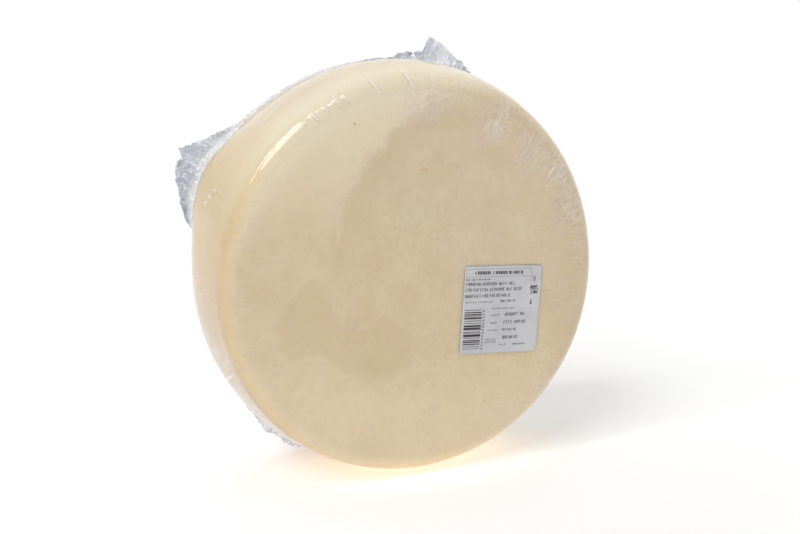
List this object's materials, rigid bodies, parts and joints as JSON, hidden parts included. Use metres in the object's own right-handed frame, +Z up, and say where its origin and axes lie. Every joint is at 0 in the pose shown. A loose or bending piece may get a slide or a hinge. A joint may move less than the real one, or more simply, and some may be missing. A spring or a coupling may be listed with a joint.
{
  "type": "vacuum-bagged latteria cheese wheel",
  "caption": "Round young latteria cheese wheel in a skin-tight clear bag with crumpled corner ears and a paper label, standing on its rim.",
  "frame": {"origin": "middle of the small flat foot that the wheel's weight presses into its rim", "axes": "+Z up, Y along the wheel's axis, with the labelled face towards -Y and +X to the right of that face"},
  "size_m": [0.3103, 0.0969, 0.3254],
  "materials": {
    "cheese": "smooth pale cream cheese under a glossy clear film",
    "film": "clear shrink film, glossy, milky where it is crumpled",
    "label": null
  },
  "bodies": {
    "root": {"sealed_wheel": "cheese", "label": "label"}
  },
  "joints": []
}
